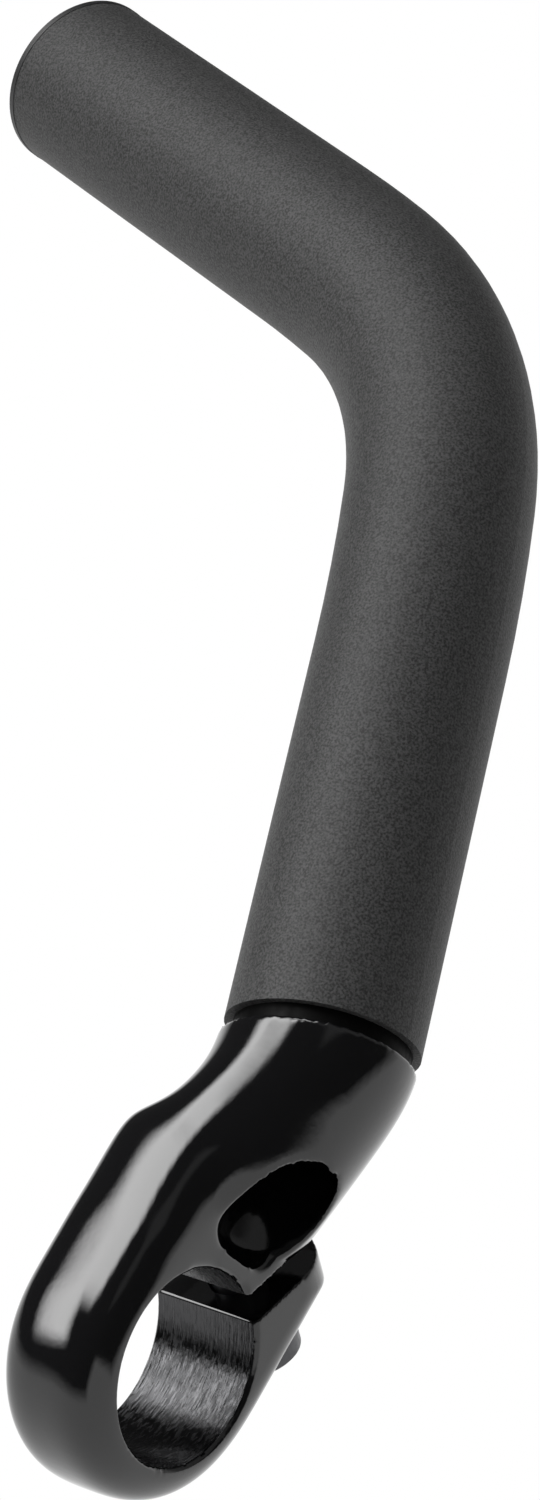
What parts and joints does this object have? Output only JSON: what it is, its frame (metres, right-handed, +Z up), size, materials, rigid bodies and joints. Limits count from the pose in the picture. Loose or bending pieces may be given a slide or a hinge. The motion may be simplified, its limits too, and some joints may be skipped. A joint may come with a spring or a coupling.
{
  "type": "bicycle bar end",
  "caption": "Bar end with a forged split clamp for a handlebar's end, a clamp screw, and a bent grip tube closed by a plug.",
  "frame": {"origin": "centre of the clamp's bore, on the handlebar's axis, at mid width of the band", "axes": "+X along the handlebar, outboard; +Z up, the way the arm stands; the arm bends in the XZ plane towards -X; the clamp's slit opens on the +Y side"},
  "size_m": [0.1189, 0.0378, 0.1802],
  "materials": {
    "clamp_paint": "gloss",
    "tube_anodised": "matte",
    "plug_plastic": "matte",
    "screw_steel": "satin"
  },
  "bodies": {
    "bar_end": {"clamp_body": "clamp_paint", "arm_tube": "tube_anodised", "end_plug": "plug_plastic"},
    "screw": {"clamp_screw": "screw_steel"}
  },
  "joints": [
    {"name": "screw_turn", "type": "hinge", "parent": "bar_end", "child": "screw", "pos_m": [0, 0.00865, 0.0144], "axis": [0, -0.8572, 0.515], "range_deg": [-90, 90]}
  ]
}
